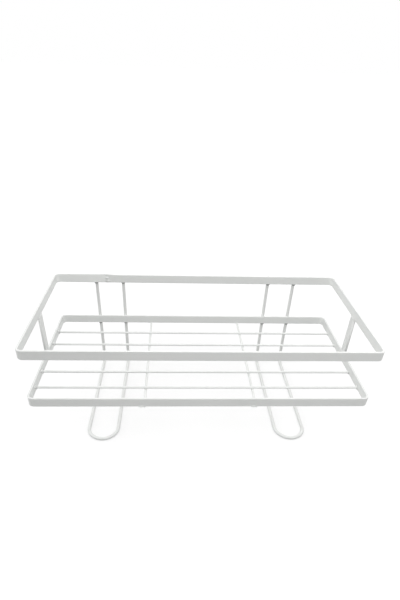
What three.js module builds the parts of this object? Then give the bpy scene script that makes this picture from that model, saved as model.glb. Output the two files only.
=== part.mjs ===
// A welded steel rack for a counter or a cistern lid: a guard rail and a deck frame of flat strip set
// on edge, two struts of the same strip between them, a deck of round wires, and two legs, each bent
// from one wire, that hold the frames at the back and run forward along the ground as looped feet.
// Millimetres, +Z up, +X to the right, +Y to the back. The feet stand on Z = 0, and the origin is at
// the middle of the footprint.
import * as THREE from "three";

// Driving dimensions of the flat strip and of the two frames bent from it
const FRAME_WIDTH = 400;
const FRAME_DEPTH = 184;
const STRIP_HEIGHT = 12;
const STRIP_THICKNESS = 2.5;
const STRIP_EDGE_ROUND = 0.4;
const CORNER_BEND_RADIUS = 5;
const DECK_CLEARANCE = 76.5;
const BAY_HEIGHT = 55.5;

// Driving dimensions of the deck's wires
const DECK_WIRE_DIAMETER = 3;
const DECK_WIRE_PITCH = 30;
const CROSS_WIRE_DIAMETER = 3;
const CROSS_WIRE_SPREAD = 132;
const CROSS_WIRE_END_SETBACK = 0.6;

// Driving dimensions of the legs
const LEG_WIRE_DIAMETER = 4.5;
const LEG_ROD_SPREAD = 38;
const LEG_SIDE_INSET = 76;
const LEG_BEND_RADIUS = 12;
const LEG_TOP_SETBACK = 1.5;
const FOOT_SETBACK = 16;

// Room left for the weld between two pieces that meet
const WELD_GAP = 0.3;

// Smoothness of the round forms
const CORNER_SEGMENTS = 8;
const EDGE_SEGMENTS = 2;
const WIRE_SIDES = 16;
const BEND_STEPS = 8;

// Two stations of a wire closer than this are one
const SAME_POINT = 1e-6;

// Places worked out from the driving dimensions
const legReach = WELD_GAP + LEG_WIRE_DIAMETER;
const frameCentreY = -legReach / 2;
const frameFrontY = frameCentreY - FRAME_DEPTH / 2;
const frameBackY = frameCentreY + FRAME_DEPTH / 2;
const deckBottomZ = DECK_CLEARANCE;
const deckTopZ = deckBottomZ + STRIP_HEIGHT;
const railBottomZ = deckTopZ + BAY_HEIGHT;
const railTopZ = railBottomZ + STRIP_HEIGHT;

// Satin white powder coat, over the whole rack
function powderCoat() {
  return new THREE.MeshStandardMaterial({ color: 0xf4f4f2, roughness: 0.45, metalness: 0 });
}

// One named piece of the rack
function piece(name, geometry) {
  const mesh = new THREE.Mesh(geometry, powderCoat());
  mesh.name = name;
  return mesh;
}

// A rectangle of the given outside size with round corners, traced into a shape or a hole
function traceRoundRectangle(path, width, depth, radius) {
  const x = width / 2 - radius;
  const y = depth / 2 - radius;
  path.moveTo(x, -y - radius);
  path.absarc(x, -y, radius, -Math.PI / 2, 0, false);
  path.absarc(x, y, radius, 0, Math.PI / 2, false);
  path.absarc(-x, y, radius, Math.PI / 2, Math.PI, false);
  path.absarc(-x, -y, radius, Math.PI, 1.5 * Math.PI, false);
  path.closePath();
  return path;
}

// A strip bent round into a rectangular frame, its lower edge at the given height. The bevel gives the
// strip its own rounded edges above and below.
function stripFrame(name, bottomZ) {
  const outerRadius = CORNER_BEND_RADIUS + STRIP_THICKNESS;
  const plan = traceRoundRectangle(new THREE.Shape(), FRAME_WIDTH, FRAME_DEPTH, outerRadius);
  const inside = traceRoundRectangle(
    new THREE.Path(),
    FRAME_WIDTH - 2 * STRIP_THICKNESS,
    FRAME_DEPTH - 2 * STRIP_THICKNESS,
    CORNER_BEND_RADIUS,
  );
  plan.holes.push(inside);
  const geometry = new THREE.ExtrudeGeometry(plan, {
    depth: STRIP_HEIGHT - 2 * STRIP_EDGE_ROUND,
    curveSegments: CORNER_SEGMENTS,
    bevelEnabled: true,
    bevelThickness: STRIP_EDGE_ROUND,
    bevelSize: STRIP_EDGE_ROUND,
    bevelOffset: -STRIP_EDGE_ROUND,
    bevelSegments: EDGE_SEGMENTS,
  });
  const frame = piece(name, geometry);
  frame.position.set(0, frameCentreY, bottomZ + STRIP_EDGE_ROUND);
  return frame;
}

// A length of the same strip, cut square, standing between the two frames with its broad face in line
// with theirs
function sideStrut(name, side) {
  const section = traceRoundRectangle(new THREE.Shape(), STRIP_THICKNESS, STRIP_HEIGHT, STRIP_EDGE_ROUND);
  const geometry = new THREE.ExtrudeGeometry(section, {
    depth: BAY_HEIGHT - 2 * WELD_GAP,
    curveSegments: EDGE_SEGMENTS,
    bevelEnabled: false,
  });
  const strut = piece(name, geometry);
  strut.position.set((side * (FRAME_WIDTH - STRIP_THICKNESS)) / 2, frameCentreY, deckTopZ + WELD_GAP);
  return strut;
}

// The centre line of a wire: straight runs between corners that are bent to a radius. It is sampled
// only at the wire's ends and round its bends, so that a long straight run costs one step.
class BentWire extends THREE.Curve {
  constructor(corners, bendRadii) {
    super();
    this.stations = [];
    const last = corners.length - 1;
    this.addStation(corners[0], corners[1].clone().sub(corners[0]).normalize());
    for (let i = 1; i < last; i += 1) {
      this.addBend(corners[i - 1], corners[i], corners[i + 1], bendRadii[i - 1]);
    }
    this.addStation(corners[last], corners[last].clone().sub(corners[last - 1]).normalize());
  }

  get steps() {
    return this.stations.length - 1;
  }

  addStation(point, tangent) {
    const previous = this.stations.at(-1);
    const isRepeat = previous && previous.point.distanceTo(point) < SAME_POINT;
    if (!isRepeat) this.stations.push({ point, tangent });
  }

  addBend(before, corner, after, radius) {
    const arriving = corner.clone().sub(before).normalize();
    const leaving = after.clone().sub(corner).normalize();
    const turn = arriving.angleTo(leaving);
    const axis = arriving.clone().cross(leaving).normalize();
    const start = corner.clone().addScaledVector(arriving, -radius * Math.tan(turn / 2));
    const centre = start.clone().addScaledVector(axis.clone().cross(arriving), radius);
    for (let i = 0; i <= BEND_STEPS; i += 1) {
      const angle = (turn * i) / BEND_STEPS;
      const point = start.clone().sub(centre).applyAxisAngle(axis, angle).add(centre);
      this.addStation(point, arriving.clone().applyAxisAngle(axis, angle));
    }
  }

  stationAt(t) {
    return this.stations[Math.round(t * this.steps)];
  }

  getPoint(t, target = new THREE.Vector3()) {
    return target.copy(this.stationAt(t).point);
  }

  getTangent(t, target = new THREE.Vector3()) {
    return target.copy(this.stationAt(t).tangent);
  }

  getUtoTmapping(u) {
    return u;
  }
}

// A round wire along its centre line, a flat of its section facing straight down
function wire(name, diameter, corners, bendRadii = []) {
  const route = new BentWire(corners, bendRadii);
  const cornerRadius = diameter / 2 / Math.cos(Math.PI / WIRE_SIDES);
  const section = new THREE.Shape();
  for (let i = 0; i < WIRE_SIDES; i += 1) {
    const angle = ((i + 0.5) * 2 * Math.PI) / WIRE_SIDES;
    const x = cornerRadius * Math.cos(angle);
    const y = cornerRadius * Math.sin(angle);
    if (i === 0) section.moveTo(x, y);
    else section.lineTo(x, y);
  }
  section.closePath();
  const options = { steps: route.steps, extrudePath: route, bevelEnabled: false };
  return piece(name, new THREE.ExtrudeGeometry(section, options));
}

// The cross wires lie under the frame's lower edge, and the deck wires lie on them, level with it
function deckWires() {
  const insideDepth = FRAME_DEPTH - 2 * STRIP_THICKNESS;
  const count = Math.max(1, Math.round(insideDepth / DECK_WIRE_PITCH) - 1);
  const endX = FRAME_WIDTH / 2 - STRIP_THICKNESS - WELD_GAP;
  const z = deckBottomZ + DECK_WIRE_DIAMETER / 2;
  const wires = [];
  for (let i = 0; i < count; i += 1) {
    const y = frameCentreY + (i - (count - 1) / 2) * DECK_WIRE_PITCH;
    const ends = [new THREE.Vector3(-endX, y, z), new THREE.Vector3(endX, y, z)];
    wires.push(wire(`deck_wire_${i + 1}`, DECK_WIRE_DIAMETER, ends));
  }
  return wires;
}

function crossWire(name, side) {
  const x = (side * CROSS_WIRE_SPREAD) / 2;
  const z = deckBottomZ - WELD_GAP - CROSS_WIRE_DIAMETER / 2;
  const ends = [
    new THREE.Vector3(x, frameFrontY + CROSS_WIRE_END_SETBACK, z),
    new THREE.Vector3(x, frameBackY - CROSS_WIRE_END_SETBACK, z),
  ];
  return wire(name, CROSS_WIRE_DIAMETER, ends);
}

// One wire: down the back of both frames, forward along the ground, round a loop and back up
function leg(name, side) {
  const radius = LEG_WIRE_DIAMETER / 2;
  const middleX = side * (FRAME_WIDTH / 2 - LEG_SIDE_INSET);
  const leftX = middleX - LEG_ROD_SPREAD / 2;
  const rightX = middleX + LEG_ROD_SPREAD / 2;
  const uprightY = frameBackY + WELD_GAP + radius;
  const loopY = frameFrontY + FOOT_SETBACK + radius;
  const topZ = railTopZ - LEG_TOP_SETBACK;
  const corners = [
    new THREE.Vector3(leftX, uprightY, topZ),
    new THREE.Vector3(leftX, uprightY, radius),
    new THREE.Vector3(leftX, loopY, radius),
    new THREE.Vector3(rightX, loopY, radius),
    new THREE.Vector3(rightX, uprightY, radius),
    new THREE.Vector3(rightX, uprightY, topZ),
  ];
  const loopRadius = LEG_ROD_SPREAD / 2;
  return wire(name, LEG_WIRE_DIAMETER, corners, [LEG_BEND_RADIUS, loopRadius, loopRadius, LEG_BEND_RADIUS]);
}

const LEFT = -1;
const RIGHT = 1;

const rack = new THREE.Group();
rack.add(
  stripFrame("upper_rail", railBottomZ),
  stripFrame("deck_frame", deckBottomZ),
  sideStrut("side_strut_left", LEFT),
  sideStrut("side_strut_right", RIGHT),
  ...deckWires(),
  crossWire("cross_wire_left", LEFT),
  crossWire("cross_wire_right", RIGHT),
  leg("leg_left", LEFT),
  leg("leg_right", RIGHT),
);

export default rack;
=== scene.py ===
"""Looks of a welded steel shelf rack under a white powder coat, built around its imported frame.

The rack is bent and welded here as in a wire shop: flat strip and round wire are fed and bent into
pieces, the pieces are welded, and one coat covers them all. Metres, +Z up, +X to the right, +Y to the
back, with the feet on Z = 0.
"""

import logging
import math
from dataclasses import dataclass, field
from enum import Enum

import bpy
from mathutils import Matrix, Vector


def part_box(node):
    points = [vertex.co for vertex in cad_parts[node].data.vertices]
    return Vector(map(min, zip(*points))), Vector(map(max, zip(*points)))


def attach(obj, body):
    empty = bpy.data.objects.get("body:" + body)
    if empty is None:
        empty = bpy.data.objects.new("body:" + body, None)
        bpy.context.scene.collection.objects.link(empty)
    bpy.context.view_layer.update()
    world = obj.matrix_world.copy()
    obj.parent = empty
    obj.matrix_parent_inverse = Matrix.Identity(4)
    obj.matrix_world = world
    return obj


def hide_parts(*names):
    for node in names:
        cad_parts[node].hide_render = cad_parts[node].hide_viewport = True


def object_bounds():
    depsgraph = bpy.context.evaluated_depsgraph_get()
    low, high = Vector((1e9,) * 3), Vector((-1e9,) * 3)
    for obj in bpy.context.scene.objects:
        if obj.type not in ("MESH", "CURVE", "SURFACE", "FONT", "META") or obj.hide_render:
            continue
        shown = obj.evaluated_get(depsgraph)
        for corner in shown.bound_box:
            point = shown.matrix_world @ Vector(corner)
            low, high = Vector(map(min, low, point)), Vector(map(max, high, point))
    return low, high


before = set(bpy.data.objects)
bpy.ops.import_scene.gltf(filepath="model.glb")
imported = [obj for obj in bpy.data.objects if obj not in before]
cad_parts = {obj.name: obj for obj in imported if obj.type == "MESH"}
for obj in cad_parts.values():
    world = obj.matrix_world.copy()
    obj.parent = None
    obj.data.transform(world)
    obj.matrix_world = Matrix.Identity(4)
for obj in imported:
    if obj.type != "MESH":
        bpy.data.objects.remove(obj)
cad_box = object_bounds()

log = logging.getLogger("rack")

MM = 0.001
BODY = "root"

RIGHTWARD = Vector((1, 0, 0))
BACKWARD = Vector((0, 1, 0))
UPWARD = Vector((0, 0, 1))

# Edges that turn by less than this are smooth
SMOOTH_ANGLE = math.radians(40)

# Two points nearer than this are one
SAME_POINT = 0.002 * MM

# Diameter of the legs' wire
LEG_WIRE = 4.5 * MM

# The rail's seam: how far it lies left of the left leg's middle, its gap, and the lean of its last end
SEAM_OFFSET = 2.5 * MM
SEAM_GAP = 0.05 * MM
END_LEAN = math.radians(9)

# Numbers of the Mix node's sockets for colours, which share their names with its other sockets
MIX_FIRST = 6
MIX_SECOND = 7
MIX_RESULT = 2


class Side(Enum):
    """An end of the rack, as the sign of its X."""

    LEFT = -1
    RIGHT = 1

    @property
    def word(self) -> str:
        """The side's name in lower case, as the node names have it."""
        return self.name.lower()


# Nodes of the pieces that the rack has more than once
WIRE_COUNT = 5
DECK_WIRES = [f"deck_wire_{number}" for number in range(1, WIRE_COUNT + 1)]
CROSS_WIRES = [f"cross_wire_{side.word}" for side in Side]
SIDE_STRUTS = [f"side_strut_{side.word}" for side in Side]
LEGS = [f"leg_{side.word}" for side in Side]


@dataclass(frozen=True)
class Span:
    """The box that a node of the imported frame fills."""

    low: Vector
    high: Vector

    @classmethod
    def of(cls, node: str) -> "Span":
        """Reads the box of a node."""
        return cls(*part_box(node))

    @property
    def size(self) -> Vector:
        """Lengths of the box along X, Y and Z."""
        return self.high - self.low

    @property
    def middle(self) -> Vector:
        """Middle of the box."""
        return (self.low + self.high) / 2


def linear_colour(hex_code: str) -> tuple[float, float, float, float]:
    """Turns an sRGB hex colour to linear.

    Args:
        hex_code: Six hex digits after a hash sign.

    Returns:
        Linear red, green and blue, with an alpha of 1.
    """
    channels = []
    for start in (1, 3, 5):
        value = int(hex_code[start:start + 2], 16) / 255
        channels.append(value / 12.92 if value <= 0.04045 else ((value + 0.055) / 1.055) ** 2.4)
    return (*channels, 1.0)


def add_node(
    tree: bpy.types.NodeTree, kind: str, inputs: dict | None = None, **settings
) -> bpy.types.Node:
    """Adds a shader node.

    Args:
        tree: Node tree that gets the node.
        kind: Name of the node's type.
        inputs: For each input's name or number, a value, or an output socket to link from.
        settings: Properties of the node itself.

    Returns:
        The new node.
    """
    node = tree.nodes.new(kind)
    for key, value in settings.items():
        setattr(node, key, value)
    for socket, value in (inputs or {}).items():
        if isinstance(value, bpy.types.NodeSocket):
            tree.links.new(value, node.inputs[socket])
        else:
            node.inputs[socket].default_value = value
    return node


def seen_directly(
    tree: bpy.types.NodeTree, level: float | bpy.types.NodeSocket
) -> bpy.types.NodeSocket:
    """Gives a level to rays from the camera and through gloss or glass, and 0 to the rest.

    Args:
        tree: Node tree that gets the nodes.
        level: The level.

    Returns:
        The socket that holds it.
    """
    path = add_node(tree, "ShaderNodeLightPath").outputs
    seen = path["Is Camera Ray"]
    for ray in ("Is Glossy Ray", "Is Transmission Ray"):
        seen = add_node(tree, "ShaderNodeMath", {0: seen, 1: path[ray]}, operation="MAXIMUM").outputs[0]
    return add_node(tree, "ShaderNodeMath", {0: seen, 1: level}, operation="MULTIPLY").outputs[0]


@dataclass(frozen=True)
class PowderCoat:
    """White polyester powder coat, sprayed on steel and baked.

    The eye sees a satin white skin with a faint orange peel, which is the powder's own flow, and a
    slow drift of tone where the coat is thicker or thinner.
    """

    name: str = "white_polyester_powder_coat_baked"
    thick_coat: str = "#F1F2F0"
    thin_coat: str = "#E9EBE9"
    roughness: float = 0.42
    roughness_drift: float = 0.06
    ior: float = 1.5
    drift_length: float = 55 * MM
    drift_detail: float = 3.0
    peel_length: float = 2.2 * MM
    peel_depth: float = 0.035 * MM
    grit_length: float = 0.5 * MM
    grit_depth: float = 0.006 * MM
    fine_detail: float = 1.0

    def material(self) -> bpy.types.Material:
        """Makes the coat's material.

        Returns:
            A material on Object coordinates, in real sizes.
        """
        made = bpy.data.materials.new(self.name)
        made.use_nodes = True
        tree = made.node_tree
        tree.nodes.clear()
        place = add_node(tree, "ShaderNodeTexCoord").outputs["Object"]
        drift, peel, grit = (
            add_node(
                tree, "ShaderNodeTexNoise", {"Vector": place, "Scale": 1 / length, "Detail": detail}
            ).outputs["Fac"]
            for length, detail in (
                (self.drift_length, self.drift_detail),
                (self.peel_length, self.fine_detail),
                (self.grit_length, self.fine_detail),
            )
        )
        tone = add_node(
            tree,
            "ShaderNodeMix",
            {
                "Factor": drift,
                MIX_FIRST: linear_colour(self.thin_coat),
                MIX_SECOND: linear_colour(self.thick_coat),
            },
            data_type="RGBA",
        ).outputs[MIX_RESULT]
        gloss = add_node(
            tree,
            "ShaderNodeMapRange",
            {
                "Value": drift,
                "To Min": self.roughness + self.roughness_drift,
                "To Max": self.roughness - self.roughness_drift,
            },
        ).outputs["Result"]
        flow = add_node(tree, "ShaderNodeBump", {"Distance": self.peel_depth, "Height": peel})
        skin = add_node(
            tree,
            "ShaderNodeBump",
            {"Distance": self.grit_depth, "Height": grit, "Normal": flow.outputs["Normal"]},
        )
        shader = add_node(
            tree,
            "ShaderNodeBsdfPrincipled",
            {"Base Color": tone, "Roughness": gloss, "IOR": self.ior, "Normal": skin.outputs["Normal"]},
        )
        add_node(tree, "ShaderNodeOutputMaterial", {"Surface": shader.outputs["BSDF"]})
        return made


@dataclass(frozen=True)
class PaperSweep:
    """Matt white paper, rolled out under the rack.

    The eye sees plain white that shades softly near the rack. The paper throws light back as a grey
    does, and a glow that only the eye and gloss see, stronger far off, brings it up to white.
    """

    name: str = "white_paper_sweep"
    paper: str = "#B3B3B3"
    near_glow: float = 0.57
    far_glow: float = 0.73
    near_reach: float = 120 * MM
    far_reach: float = 500 * MM

    def material(self) -> bpy.types.Material:
        """Makes the paper's material.

        Returns:
            A material on Object coordinates, in real sizes.
        """
        made = bpy.data.materials.new(self.name)
        made.use_nodes = True
        tree = made.node_tree
        tree.nodes.clear()
        matt = add_node(tree, "ShaderNodeBsdfDiffuse", {"Color": linear_colour(self.paper)})
        place = add_node(tree, "ShaderNodeTexCoord").outputs["Object"]
        reach = add_node(tree, "ShaderNodeVectorMath", {0: place}, operation="LENGTH").outputs["Value"]
        level = add_node(
            tree,
            "ShaderNodeMapRange",
            {
                "Value": reach,
                "From Min": self.near_reach,
                "From Max": self.far_reach,
                "To Min": self.near_glow,
                "To Max": self.far_glow,
            },
        ).outputs["Result"]
        glow = add_node(tree, "ShaderNodeEmission", {"Strength": seen_directly(tree, level)})
        both = add_node(tree, "ShaderNodeAddShader", {0: matt.outputs[0], 1: glow.outputs[0]})
        add_node(tree, "ShaderNodeOutputMaterial", {"Surface": both.outputs[0]})
        return made


class Bender:
    """Pushes an open section along straight runs and round bends, as a bending machine feeds stock.

    The section is the ring of edges that is selected in edit mode, so each run goes on from the last.
    """

    def __init__(self, place: Vector, heading: Vector) -> None:
        """Takes hold of the section.

        Args:
            place: Middle of the section.
            heading: Direction in which the stock leaves the machine.
        """
        self.place = place.copy()
        self.heading = heading.copy()

    def feed(self, length: float, steps: int = 1) -> None:
        """Feeds a straight run.

        Args:
            length: Length of the run.
            steps: Number of equal parts that the run has.
        """
        part = self.heading * (length / steps)
        for _ in range(steps):
            bpy.ops.mesh.extrude_region_move(TRANSFORM_OT_translate={"value": part})
        self.place += self.heading * length

    def bend(self, radius: float, degrees: float, axis: Vector, steps: int) -> None:
        """Bends the stock round a pin.

        Args:
            radius: From the pin's axis to the middle of the stock.
            degrees: Angle of the bend, right-handed about the axis.
            axis: Direction of the pin.
            steps: Number of parts that the bend has.
        """
        angle = math.radians(degrees)
        inward = axis.cross(self.heading) * math.copysign(1, angle)
        centre = self.place + inward * radius
        # The operator counts its angle left-handed
        bpy.ops.mesh.spin(steps=steps, angle=-angle, center=centre, axis=axis)
        turn = Matrix.Rotation(angle, 3, axis)
        self.place = centre + turn @ (self.place - centre)
        self.heading = turn @ self.heading

    def taper(self, length: float, scale: float) -> None:
        """Feeds a short run and widens or narrows its end.

        Args:
            length: Length of the run.
            scale: Width of the section after it, as a share of the width before.
        """
        self.feed(length)
        bpy.ops.transform.resize(value=(scale, scale, scale), center_override=self.place)


@dataclass(frozen=True)
class RoundWire:
    """Round drawn steel wire.

    A cut end grows to the wire's full width in steps, whose reaches and widths are shares of the
    diameter.
    """

    diameter: float
    sides: int = 24
    dome_reaches: tuple[float, ...] = (0.10, 0.16)
    dome_widths: tuple[float, ...] = (0.80, 0.92, 1.0)

    def start(self, name: str, place: Vector, heading: Vector, share: float = 1.0) -> Bender:
        """Opens a new mesh with the wire's section, in edit mode.

        Args:
            name: Name of the new object.
            place: Where the wire starts.
            heading: Which way it runs.
            share: Width of the section as a share of the wire's.

        Returns:
            The bender that holds the section.
        """
        bpy.ops.object.select_all(action="DESELECT")
        bpy.ops.mesh.primitive_circle_add(
            vertices=self.sides,
            radius=share * self.diameter / 2,
            fill_type="NOTHING",
            location=place,
            rotation=heading.to_track_quat("Z", "Y").to_euler(),
        )
        return open_section(name, place, heading)

    def start_domed(self, name: str, place: Vector, heading: Vector) -> Bender:
        """Opens a new mesh with a cut end whose rim the coat has rounded.

        Args:
            name: Name of the new object.
            place: Tip of the wire.
            heading: Which way it runs.

        Returns:
            The bender that holds the section.
        """
        bender = self.start(name, place, heading, self.dome_widths[0])
        for reach, width, next_width in self.dome_steps:
            bender.taper(reach * self.diameter, next_width / width)
        return bender

    def end_domed(self, bender: Bender) -> None:
        """Ends a wire with a cut whose rim the coat has rounded.

        Args:
            bender: The bender that holds the section.
        """
        for reach, width, next_width in reversed(self.dome_steps):
            bender.taper(reach * self.diameter, width / next_width)

    @property
    def dome_steps(self) -> list[tuple[float, float, float]]:
        """Each step's reach, and the widths before and after it, from the tip."""
        return list(zip(self.dome_reaches, self.dome_widths, self.dome_widths[1:]))

    @property
    def dome_length(self) -> float:
        """Length that a domed end takes up."""
        return self.diameter * sum(self.dome_reaches)


@dataclass(frozen=True)
class FlatStrip:
    """Flat rolled steel strip with rounded long edges."""

    breadth: float
    thickness: float
    edge_round: float = 0.55 * MM
    edge_steps: int = 4

    def start(self, name: str, place: Vector, heading: Vector, broad: Vector) -> Bender:
        """Opens a new mesh with the strip's section, in edit mode.

        Args:
            name: Name of the new object.
            place: Middle of the section where the strip starts.
            heading: Which way it runs.
            broad: Direction of its broad side.

        Returns:
            The bender that holds the section.
        """
        bpy.ops.object.select_all(action="DESELECT")
        bpy.ops.mesh.primitive_plane_add(size=1)
        bpy.ops.object.mode_set(mode="EDIT")
        bpy.ops.transform.resize(value=(self.breadth, self.thickness, 1))
        bpy.ops.mesh.bevel(offset=self.edge_round, segments=self.edge_steps, affect="VERTICES")
        bpy.ops.mesh.delete(type="ONLY_FACE")
        bpy.ops.object.mode_set(mode="OBJECT")
        turn = Matrix((broad, heading.cross(broad), heading)).transposed()
        bpy.context.object.matrix_world = Matrix.Translation(place) @ turn.to_4x4()
        return open_section(name, place, heading)


def open_section(name: str, place: Vector, heading: Vector) -> Bender:
    """Puts the active object's place in its mesh and takes hold of its ring in edit mode.

    Args:
        name: Name for the object.
        place: Middle of the ring.
        heading: Which way the stock will run.

    Returns:
        The bender that holds the ring.
    """
    section = bpy.context.object
    section.name = name
    section.data.name = name
    bpy.ops.object.transform_apply(location=True, rotation=True, scale=True)
    bpy.ops.object.mode_set(mode="EDIT")
    bpy.ops.mesh.select_mode(type="EDGE")
    bpy.ops.mesh.select_all(action="SELECT")
    return Bender(place, heading)


def close_piece() -> bpy.types.Object:
    """Caps the open ends of the piece in edit mode and smooths it.

    Returns:
        The finished piece, in object mode.
    """
    bpy.ops.mesh.select_all(action="SELECT")
    bpy.ops.mesh.remove_doubles(threshold=SAME_POINT)
    bpy.ops.mesh.fill_holes(sides=0)
    bpy.ops.mesh.normals_make_consistent(inside=False)
    bpy.ops.object.mode_set(mode="OBJECT")
    smooth_piece()
    return bpy.context.object


def smooth_piece() -> None:
    """Smooths the active object's round forms and keeps its flat faces flat."""
    bpy.ops.object.shade_smooth_by_angle(angle=SMOOTH_ANGLE)
    bpy.ops.object.modifier_add(type="WEIGHTED_NORMAL")
    bpy.ops.object.modifier_apply(modifier=bpy.context.object.modifiers[-1].name)


def duplicate(piece: bpy.types.Object) -> bpy.types.Object:
    """Copies an object and its mesh.

    Args:
        piece: The object.

    Returns:
        The copy, which is active and alone selected.
    """
    bpy.ops.object.select_all(action="DESELECT")
    piece.select_set(True)
    bpy.context.view_layer.objects.active = piece
    bpy.ops.object.duplicate()
    return bpy.context.object


def fit_to_rack(piece: bpy.types.Object, coat: bpy.types.Material, *nodes: str) -> None:
    """Coats a piece, hangs it on the rack's body and lets it stand for its nodes.

    Args:
        piece: The finished piece.
        coat: Material of the rack's coat.
        nodes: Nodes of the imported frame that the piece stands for.
    """
    piece.data.materials.clear()
    piece.data.materials.append(coat)
    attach(piece, BODY)
    if nodes:
        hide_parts(*nodes)
    log.info("%s: %d faces", piece.name, len(piece.data.polygons))


def fit_copies(piece: bpy.types.Object, coat: bpy.types.Material, nodes: list[str]) -> None:
    """Copies a piece to the places of all nodes of its shape and puts it and its copies on the rack.

    Args:
        piece: The finished piece, in the first node's place and with that node's name in its own.
        coat: Material of the rack's coat.
        nodes: Nodes of one shape.
    """
    first = nodes[0]
    pieces = [piece]
    for node in nodes[1:]:
        copy = duplicate(piece)
        copy.name = piece.name.replace(first, node)
        copy.data.name = copy.name
        copy.location = Span.of(node).middle - Span.of(first).middle
        bpy.ops.object.transform_apply(location=True)
        pieces.append(copy)
    for node, fitted in zip(nodes, pieces):
        fit_to_rack(fitted, coat, node)


@dataclass
class StripFrame:
    """A strip set on edge, bent into a rectangle and welded end to end on its back run."""

    node: str
    strip: FlatStrip
    seam_x: float
    seam_gap: float = 0.0
    end_lean: float = 0.0
    bend_radius: float = 5 * MM
    bend_steps: int = 12
    run_step: float = 12 * MM
    lean_reach: float = 90 * MM

    def build(self) -> bpy.types.Object:
        """Feeds and bends the strip from its seam round to its seam.

        Returns:
            The frame, with its two ends apart by the seam, or one ring where there is no gap.
        """
        span = Span.of(self.node)
        half_thickness = self.strip.thickness / 2
        radius = self.bend_radius + half_thickness
        left = span.low.x + half_thickness + radius
        right = span.high.x - half_thickness - radius
        depth = span.size.y - self.strip.thickness - 2 * radius
        start = Vector((self.seam_x + self.seam_gap / 2, span.high.y - half_thickness, span.middle.z))
        bender = self.strip.start(f"{self.node}_strip", start, RIGHTWARD, UPWARD)
        self.run(bender, right - start.x)
        for length in (depth, right - left, depth):
            bender.bend(radius, -90, UPWARD, self.bend_steps)
            self.run(bender, length)
        bender.bend(radius, -90, UPWARD, self.bend_steps)
        self.run(bender, self.seam_x - self.seam_gap / 2 - left)
        if self.end_lean:
            self.lean_end()
        return close_piece()

    def dress(self, coat: bpy.types.Material) -> None:
        """Builds the frame and puts it on the rack in its coat."""
        fit_to_rack(self.build(), coat, self.node)

    def run(self, bender: Bender, length: float) -> None:
        """Feeds a straight run in short steps."""
        bender.feed(length, max(1, round(length / self.run_step)))

    def lean_end(self) -> None:
        """Leans the strip's last end back about its lower edge, as it was welded, and eases the rest."""
        span = Span.of(self.node)
        bpy.ops.transform.rotate(
            value=self.end_lean,
            orient_axis="X",
            center_override=(self.seam_x, span.high.y - self.strip.thickness, span.low.z),
            use_proportional_edit=True,
            proportional_edit_falloff="INVERSE_SQUARE",
            proportional_size=self.lean_reach,
            use_proportional_connected=True,
        )


@dataclass
class SideStruts:
    """Two lengths of strip standing between the two frames, half way along their short sides."""

    strip: FlatStrip

    def build(self) -> bpy.types.Object:
        """Cuts the left strut to the gap between the frames.

        Returns:
            The strut.
        """
        node = SIDE_STRUTS[0]
        span = Span.of(node)
        foot = Vector((span.middle.x, span.middle.y, span.low.z))
        bender = self.strip.start(f"{node}_strip", foot, UPWARD, BACKWARD)
        bender.feed(span.size.z)
        return close_piece()

    def dress(self, coat: bpy.types.Material) -> None:
        """Builds a strut, copies it and puts both on the rack in their coat."""
        fit_copies(self.build(), coat, SIDE_STRUTS)


@dataclass
class WireDeck:
    """The deck's long wires and the two cross wires under them.

    The fillet is the flare of a long wire's end: the length of each step in millimetres, and how much
    it widens the wire.
    """

    strip: FlatStrip
    fillet: tuple[tuple[float, float], ...] = ((0.5, 1.05), (0.45, 1.12), (0.35, 1.2), (0.3, 1.25))
    tip_trim: float = 1.2 * MM

    def build_deck_wire(self) -> bpy.types.Object:
        """Makes the front long wire, whose ends flare into the welds on the frame.

        Returns:
            The wire.
        """
        node = DECK_WIRES[0]
        span = Span.of(node)
        wire = RoundWire(span.size.z)
        flare = sum(length for length, _ in self.fillet) * MM
        widest = math.prod(scale for _, scale in self.fillet)
        gap = Span.of("deck_frame").high.x - self.strip.thickness - span.high.x
        start = Vector((span.low.x - gap, span.middle.y, span.middle.z))
        bender = wire.start(f"{node}_rod", start, RIGHTWARD, widest)
        for length, scale in reversed(self.fillet):
            bender.taper(length * MM, 1 / scale)
        bender.feed(span.size.x + 2 * gap - 2 * flare)
        for length, scale in self.fillet:
            bender.taper(length * MM, scale)
        return close_piece()

    def build_cross_wire(self) -> bpy.types.Object:
        """Makes the left cross wire with domed ends, cut a little short under the frame.

        Returns:
            The wire.
        """
        node = CROSS_WIRES[0]
        span = Span.of(node)
        wire = RoundWire(span.size.z)
        start = Vector((span.middle.x, span.low.y + self.tip_trim, span.middle.z))
        bender = wire.start_domed(f"{node}_rod", start, BACKWARD)
        bender.feed(span.size.y - 2 * (wire.dome_length + self.tip_trim))
        wire.end_domed(bender)
        return close_piece()

    def dress(self, coat: bpy.types.Material) -> None:
        """Builds one wire of each kind, copies it and puts them all on the rack in their coat."""
        fit_copies(self.build_deck_wire(), coat, DECK_WIRES)
        fit_copies(self.build_cross_wire(), coat, CROSS_WIRES)


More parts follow.
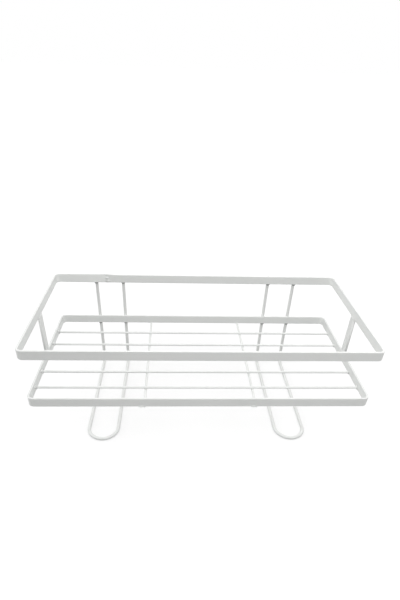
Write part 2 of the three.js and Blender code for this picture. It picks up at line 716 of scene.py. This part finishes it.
@dataclass
class WireLegs:
    """Two legs, each one wire down the back of both frames, round a looped foot and up again."""

    wire: RoundWire
    bend_radius: float = 12 * MM
    bend_steps: int = 12
    loop_steps: int = 32

    def build(self) -> bpy.types.Object:
        """Feeds and bends the left leg from one top end to the other.

        Returns:
            The leg.
        """
        node = LEGS[0]
        span = Span.of(node)
        half = self.wire.diameter / 2
        loop_radius = span.size.x / 2 - half
        top = Vector((span.low.x + half, span.high.y - half, span.high.z))
        upright = span.size.z - half - self.bend_radius - self.wire.dome_length
        foot = span.size.y - 2 * half - self.bend_radius - loop_radius
        bender = self.wire.start_domed(f"{node}_rod", top, -UPWARD)
        bender.feed(upright)
        bender.bend(self.bend_radius, -90, RIGHTWARD, self.bend_steps)
        bender.feed(foot)
        bender.bend(loop_radius, 180, UPWARD, self.loop_steps)
        bender.feed(foot)
        bender.bend(self.bend_radius, 90, RIGHTWARD, self.bend_steps)
        bender.feed(upright)
        self.wire.end_domed(bender)
        return close_piece()

    def dress(self, coat: bpy.types.Material) -> None:
        """Builds a leg, copies it and puts both on the rack in their coat."""
        fit_copies(self.build(), coat, LEGS)


@dataclass(frozen=True)
class Dab:
    """One dab of weld metal: its middle, its half lengths along X, Y and Z, and its tilt about X."""

    place: Vector
    half: Vector
    tilt: float = 0.0

    def moved(self, by: Vector) -> "Dab":
        """The same dab in another place."""
        return Dab(self.place + by, self.half, self.tilt)


@dataclass
class WeldDabs:
    """Dabs of weld metal at joints of one kind, copied from one blob and joined to one piece."""

    name: str
    dabs: list[Dab]
    fineness: int = 3
    lumpiness: float = 0.14
    smoothing: float = 0.5
    smoothing_rounds: int = 4
    seed: int = 3
    turn: float = math.radians(137.5)

    def build(self) -> bpy.types.Object:
        """Models the blob, sets a copy at each joint and joins the copies.

        Returns:
            The joined dabs.
        """
        blob = self.model_blob()
        copies = [self.set_copy(blob, dab, number) for number, dab in enumerate(self.dabs)]
        bpy.ops.object.select_all(action="DESELECT")
        blob.select_set(True)
        bpy.ops.object.delete()
        for copy in copies:
            copy.select_set(True)
        joined = copies[0]
        bpy.context.view_layer.objects.active = joined
        bpy.ops.object.join()
        joined.name = self.name
        joined.data.name = self.name
        smooth_piece()
        return joined

    def dress(self, coat: bpy.types.Material) -> None:
        """Builds the dabs and puts them on the rack in their coat."""
        fit_to_rack(self.build(), coat)

    def model_blob(self) -> bpy.types.Object:
        """Models a lumpy blob that reaches 1 from its middle.

        Returns:
            The blob.
        """
        bpy.ops.object.select_all(action="DESELECT")
        bpy.ops.mesh.primitive_ico_sphere_add(subdivisions=self.fineness, radius=1)
        blob = bpy.context.object
        bpy.ops.object.mode_set(mode="EDIT")
        bpy.ops.mesh.select_all(action="SELECT")
        bpy.ops.transform.vertex_random(offset=self.lumpiness, seed=self.seed)
        bpy.ops.mesh.vertices_smooth(factor=self.smoothing, repeat=self.smoothing_rounds)
        bpy.ops.object.mode_set(mode="OBJECT")
        bpy.ops.object.modifier_add(type="SUBSURF")
        bpy.ops.object.modifier_apply(modifier=blob.modifiers[-1].name)
        reach = max(corner.co.length for corner in blob.data.vertices)
        blob.scale = Vector((1, 1, 1)) / reach
        bpy.ops.object.transform_apply(scale=True)
        return blob

    def set_copy(self, blob: bpy.types.Object, dab: Dab, number: int) -> bpy.types.Object:
        """Copies the blob, turns it so that no two look alike, and sets it in its joint.

        Args:
            blob: The blob.
            dab: Where the copy goes, and its size.
            number: Count of the copies before it.

        Returns:
            The copy, with its place in its mesh.
        """
        copy = duplicate(blob)
        copy.rotation_euler = (number * self.turn, 0, 2 * number * self.turn)
        bpy.ops.object.transform_apply(rotation=True)
        copy.scale = dab.half
        copy.rotation_euler = (dab.tilt, 0, 0)
        copy.location = dab.place
        bpy.ops.object.transform_apply(location=True, rotation=True, scale=True)
        return copy


@dataclass
class RackWelds:
    """The rack's welds, kind by kind."""

    crossing: Vector = field(default_factory=lambda: Vector((2.1, 2.1, 1.0)) * MM)
    left_wire_end: Dab = field(default_factory=lambda: Dab(
        Vector((0, -3.8, 3.4)) * MM, Vector((1.8, 6.0, 1.7)) * MM, math.radians(-40)
    ))
    right_wire_end: Dab = field(default_factory=lambda: Dab(
        Vector((0, 0, 0.4)) * MM, Vector((1.4, 2.3, 2.2)) * MM
    ))
    cross_wire_tip: Vector = field(default_factory=lambda: Vector((4.6, 1.5, 1.5)) * MM)
    strut_end: Vector = field(default_factory=lambda: Vector((1.9, 6.4, 0.9)) * MM)
    leg_joint: Vector = field(default_factory=lambda: Vector((2.8, 1.7, 2.7)) * MM)
    tip_rise: float = 0.3 * MM
    tip_shift: float = -3.0 * MM
    leg_drop: float = 0.5 * MM
    seam_dabs: tuple[Dab, ...] = field(default_factory=lambda: (
        Dab(Vector((-0.4, 0.3, -4.6)) * MM, Vector((2.8, 1.2, 2.0)) * MM),
        Dab(Vector((0.4, 0.0, -8.7)) * MM, Vector((3.3, 1.0, 1.5)) * MM),
        Dab(Vector((0.0, 2.9, -5.0)) * MM, Vector((2.6, 1.2, 2.4)) * MM),
        Dab(Vector((0.3, 2.6, -9.0)) * MM, Vector((2.8, 1.0, 1.8)) * MM),
        Dab(Vector((-0.6, 2.0, -0.4)) * MM, Vector((3.0, 1.3, 0.9)) * MM),
    ))

    def wires(self) -> list[Span]:
        """Boxes of the long wires."""
        return [Span.of(node) for node in DECK_WIRES]

    def seam(self, strip_frame: StripFrame) -> WeldDabs:
        """Where a frame's strip meets its own end, on both faces and on the upper edge.

        Args:
            strip_frame: The frame.

        Returns:
            The welds.
        """
        span = Span.of(strip_frame.node)
        inner_y = span.high.y - strip_frame.strip.thickness
        edge = Vector((strip_frame.seam_x, inner_y, span.high.z))
        return WeldDabs(f"{strip_frame.node}_seam_welds", [dab.moved(edge) for dab in self.seam_dabs])

    def crossings(self) -> WeldDabs:
        """Where the long wires lie on the cross wires.

        Returns:
            The welds.
        """
        dabs = []
        for node in CROSS_WIRES:
            cross = Span.of(node)
            for wire in self.wires():
                height = (wire.low.z + cross.high.z) / 2
                dabs.append(Dab(Vector((cross.middle.x, wire.middle.y, height)), self.crossing))
        return WeldDabs("deck_crossing_welds", dabs)

    def wire_ends(self, side: Side) -> WeldDabs:
        """Where the long wires meet one side of the deck frame, drawn up its face on the left.

        Args:
            side: Which side of the frame.

        Returns:
            The welds.
        """
        pattern = self.left_wire_end if side is Side.LEFT else self.right_wire_end
        dabs = []
        for wire in self.wires():
            end_x = wire.low.x if side is Side.LEFT else wire.high.x
            dabs.append(pattern.moved(Vector((end_x, wire.middle.y, wire.middle.z))))
        return WeldDabs(f"deck_wire_{side.word}_welds", dabs)

    def cross_wire_tips(self) -> WeldDabs:
        """Where the cross wires pass under the front and the back of the deck frame.

        Returns:
            The welds.
        """
        deck_frame = Span.of("deck_frame")
        dabs = []
        for node in CROSS_WIRES:
            cross = Span.of(node)
            for edge in (cross.low.y, cross.high.y):
                place = Vector((cross.middle.x + self.tip_shift, edge, deck_frame.low.z + self.tip_rise))
                dabs.append(Dab(place, self.cross_wire_tip))
        return WeldDabs("cross_wire_tip_welds", dabs)

    def strut_ends(self) -> WeldDabs:
        """Where the struts stand between the two frames.

        Returns:
            The welds.
        """
        dabs = []
        for node in SIDE_STRUTS:
            strut = Span.of(node)
            for height in (strut.low.z, strut.high.z):
                dabs.append(Dab(Vector((strut.middle.x, strut.middle.y, height)), self.strut_end))
        return WeldDabs("strut_end_welds", dabs)

    def leg_joints(self, rod: RoundWire) -> WeldDabs:
        """Where the legs' rods pass behind the lower edges of the frames.

        Args:
            rod: The legs' wire.

        Returns:
            The welds.
        """
        half = rod.diameter / 2
        dabs = []
        for leg_node in LEGS:
            leg = Span.of(leg_node)
            for strip_node in ("upper_rail", "deck_frame"):
                strip = Span.of(strip_node)
                for x in (leg.low.x + half, leg.high.x - half):
                    place = Vector((x, strip.high.y, strip.low.z - self.leg_drop))
                    dabs.append(Dab(place, self.leg_joint))
        return WeldDabs("leg_joint_welds", dabs)


@dataclass(frozen=True)
class Lamp:
    """A wide softbox, far off: where it hangs as seen from the rack, and its light there.

    The azimuth is 0 in front of the rack and 90 on its right, and a level of 1 lights white as white.
    """

    azimuth: float
    elevation: float
    width: float
    level: float


@dataclass(frozen=True)
class Softbox:
    """A square softbox near the rack: where it hangs, how wide it is, and its power in watts."""

    place: Vector
    width: float
    power: float


@dataclass
class Studio:
    """A white sweep under wide lamps, and the camera."""

    image_size: tuple[int, int] = (400, 600)
    focal_pixels: float = 415.27
    principal_pixel: tuple[float, float] = (191.0, 333.9)
    camera_place: Vector = field(default_factory=lambda: Vector((-33.72, -448.73, 419.56)) * MM)
    yaw: float = math.radians(-3.087)
    pitch: float = math.radians(34.095)
    roll: float = math.radians(-2.108)
    sensor: float = 36.0
    near_clip: float = 10 * MM
    sky_level: float = 0.31
    floor_size: float = 30.0
    floor_drop: float = 0.05 * MM
    paper: PaperSweep = PaperSweep()
    softbox: Softbox = field(
        default_factory=lambda: Softbox(Vector((80, -190, 540)) * MM, 600 * MM, 1.25)
    )
    lamps: dict[str, Lamp] = field(default_factory=lambda: {
        "lamp_left": Lamp(-90, 20, 50, 0.29),
        "lamp_right": Lamp(90, 20, 50, 0.14),
        "lamp_back": Lamp(180, 12, 50, 0.22),
        "lamp_above": Lamp(0, 76, 60, 0.28),
    })

    def build_camera(self) -> None:
        """Adds the camera where the photograph was taken from."""
        forward = Vector((
            -math.sin(self.yaw) * math.cos(self.pitch),
            math.cos(self.yaw) * math.cos(self.pitch),
            -math.sin(self.pitch),
        ))
        level_right = Vector((math.cos(self.yaw), math.sin(self.yaw), 0))
        level_down = forward.cross(level_right)
        right = math.cos(self.roll) * level_right + math.sin(self.roll) * level_down
        down = math.cos(self.roll) * level_down - math.sin(self.roll) * level_right
        width, height = self.image_size
        lens = bpy.data.cameras.new("camera")
        lens.sensor_width = self.sensor
        lens.lens = self.focal_pixels * self.sensor / height
        lens.shift_x = (width / 2 - self.principal_pixel[0]) / height
        lens.shift_y = (self.principal_pixel[1] - height / 2) / height
        lens.clip_start = self.near_clip
        camera = bpy.data.objects.new("camera", lens)
        turn = Matrix((right, -down, -forward)).transposed()
        camera.matrix_world = Matrix.Translation(self.camera_place) @ turn.to_4x4()
        bpy.context.scene.collection.objects.link(camera)
        bpy.context.scene.camera = camera

    def build_lamp(self, name: str, lamp: Lamp) -> None:
        """Adds a wide distant lamp, which lights floor and rack evenly.

        Args:
            name: Name of the lamp.
            lamp: Where it hangs and how strong it is.
        """
        light = bpy.data.lights.new(name, "SUN")
        light.angle = math.radians(lamp.width)
        light.energy = lamp.level * math.pi
        holder = bpy.data.objects.new(name, light)
        tilt = math.radians(90 - lamp.elevation)
        turn = math.radians(lamp.azimuth)
        holder.rotation_euler = (tilt, 0, turn)
        bpy.context.scene.collection.objects.link(holder)

    def build_softbox(self) -> None:
        """Adds the near softbox, turned to the rack's middle."""
        light = bpy.data.lights.new("softbox", "AREA")
        light.shape = "SQUARE"
        light.size = self.softbox.width
        light.energy = self.softbox.power
        holder = bpy.data.objects.new("softbox", light)
        middle = (cad_box[0] + cad_box[1]) / 2
        aim = (middle - self.softbox.place).to_track_quat("-Z", "Y")
        holder.matrix_world = Matrix.Translation(self.softbox.place) @ aim.to_matrix().to_4x4()
        bpy.context.scene.collection.objects.link(holder)

    def build_floor(self) -> None:
        """Adds a pale floor that the camera sees as white where nothing shades it."""
        bpy.ops.object.select_all(action="DESELECT")
        bpy.ops.mesh.primitive_plane_add(size=self.floor_size, location=(0, 0, -self.floor_drop))
        floor = bpy.context.object
        floor.name = "floor"
        bpy.ops.object.transform_apply(location=True)
        floor.data.materials.append(self.paper.material())

    def build_world(self) -> None:
        """Sets a soft even light from all round, which the camera sees as white."""
        world = bpy.data.worlds.new("studio")
        world.use_nodes = True
        tree = world.node_tree
        tree.nodes.clear()
        seen = seen_directly(tree, 1.0)
        strength = add_node(tree, "ShaderNodeMath", {0: seen, 1: self.sky_level}, operation="MAXIMUM")
        white = linear_colour("#FFFFFF")
        sky = add_node(tree, "ShaderNodeBackground", {"Color": white, "Strength": strength.outputs[0]})
        add_node(tree, "ShaderNodeOutputWorld", {"Surface": sky.outputs[0]})
        bpy.context.scene.world = world

    def build(self) -> None:
        """Adds the camera, the floor, the lamps and the world."""
        self.build_camera()
        self.build_floor()
        self.build_world()
        for name, lamp in self.lamps.items():
            self.build_lamp(name, lamp)
        self.build_softbox()
        bpy.context.scene.view_settings.view_transform = "Standard"


def main() -> None:
    """Builds the rack piece by piece and sets it in the studio."""
    logging.basicConfig(level=logging.INFO, format="%(message)s")
    coat = PowderCoat().material()
    # The weld dabs behind the legs' joints take a grey coat: painted shade, for the shadow that the
    # frames' lower edges cast on the rods
    thin_coat = PowderCoat(
        name="white_polyester_powder_coat_thin_in_recess", thick_coat="#AEB0AF", thin_coat="#969897"
    ).material()
    strut = Span.of(SIDE_STRUTS[0])
    strip = FlatStrip(breadth=strut.size.y, thickness=strut.size.x)
    seam_x = Span.of(LEGS[0]).middle.x - SEAM_OFFSET
    rail = StripFrame("upper_rail", strip, seam_x, SEAM_GAP, END_LEAN)
    rail.dress(coat)
    StripFrame("deck_frame", strip, seam_x).dress(coat)
    WireDeck(strip).dress(coat)
    SideStruts(strip).dress(coat)
    rod = RoundWire(LEG_WIRE)
    WireLegs(rod).dress(coat)
    welds = RackWelds()
    for side in Side:
        welds.wire_ends(side).dress(coat)
    for dabs in (welds.seam(rail), welds.crossings(), welds.cross_wire_tips(), welds.strut_ends()):
        dabs.dress(coat)
    # Painted shade: the leg joints' dabs wear the grey coat
    welds.leg_joints(rod).dress(thin_coat)
    Studio().build()


if __name__ == "__main__":
    main()
